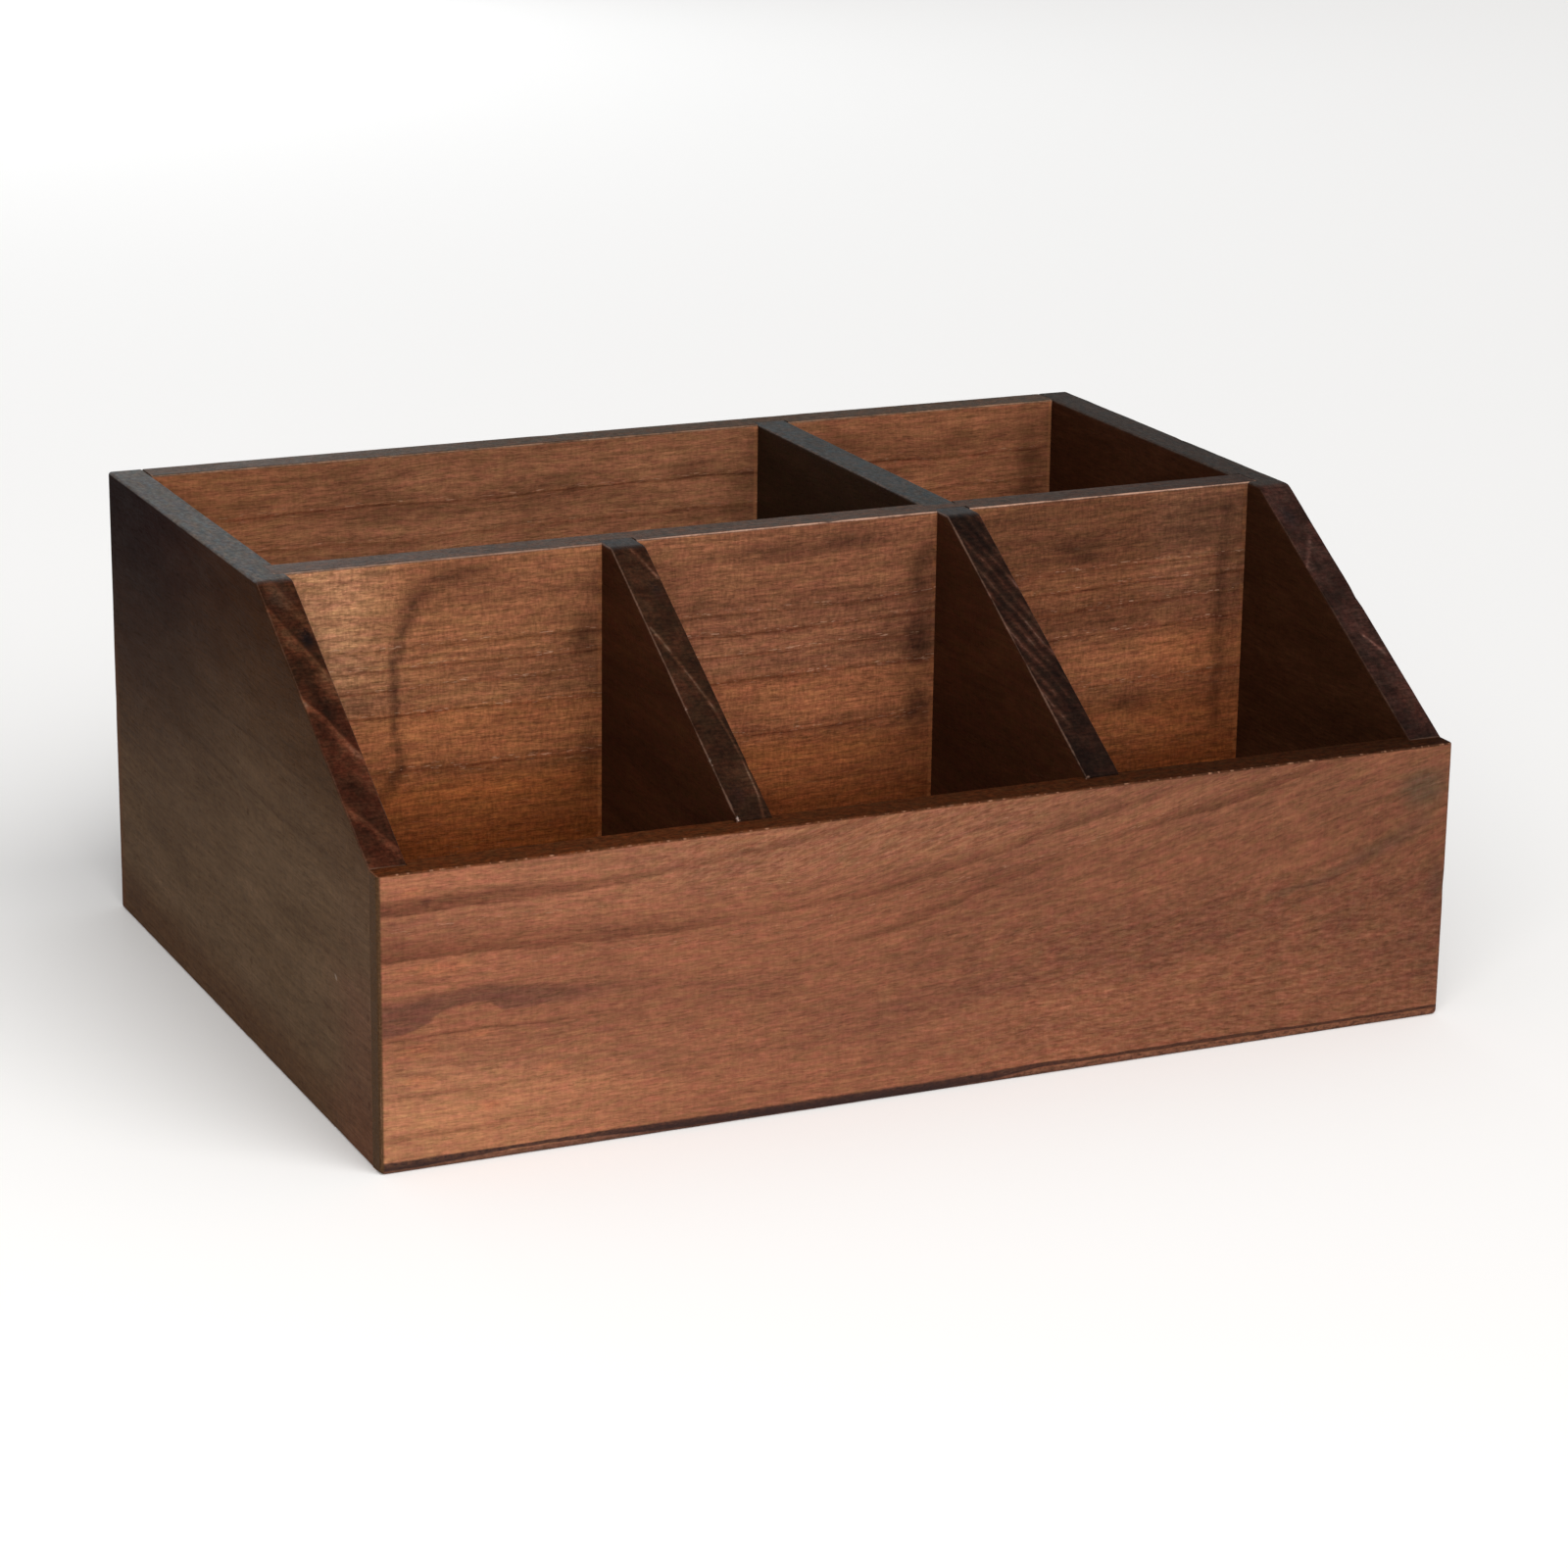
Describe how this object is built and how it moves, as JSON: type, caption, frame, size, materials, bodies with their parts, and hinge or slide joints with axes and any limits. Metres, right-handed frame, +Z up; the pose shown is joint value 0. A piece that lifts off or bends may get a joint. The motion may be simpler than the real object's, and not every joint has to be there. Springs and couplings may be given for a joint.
{
  "type": "coffee station organizer",
  "caption": "Open wooden countertop caddy with sloping sides, a low front, and a divided interior for pods, packets, stirrers and cups.",
  "frame": {"origin": "centre of the footprint, on the surface the caddy stands on", "axes": "+X to the right seen from the low front, +Y towards the high back, +Z up"},
  "size_m": [0.305, 0.225, 0.129],
  "materials": {
    "side_wood": "dark burnt stain, satin wax",
    "front_wood": "torched and waxed, worn pale at the edges",
    "inner_wood": "torched and waxed, dark grain lines",
    "divider_wood": "near-black burnt stain, satin wax",
    "bottom_wood": "thin brown stain",
    "brad_steel": "dull steel, stained over"
  },
  "bodies": {
    "root": {"left_side": "side_wood", "right_side": "side_wood", "front_panel": "front_wood", "back_panel": "inner_wood", "middle_panel": "inner_wood", "front_divider_left": "divider_wood", "front_divider_right": "divider_wood", "rear_divider": "divider_wood", "bottom_panel": "bottom_wood", "side_brads": "brad_steel", "bottom_brads": "brad_steel"}
  },
  "joints": []
}
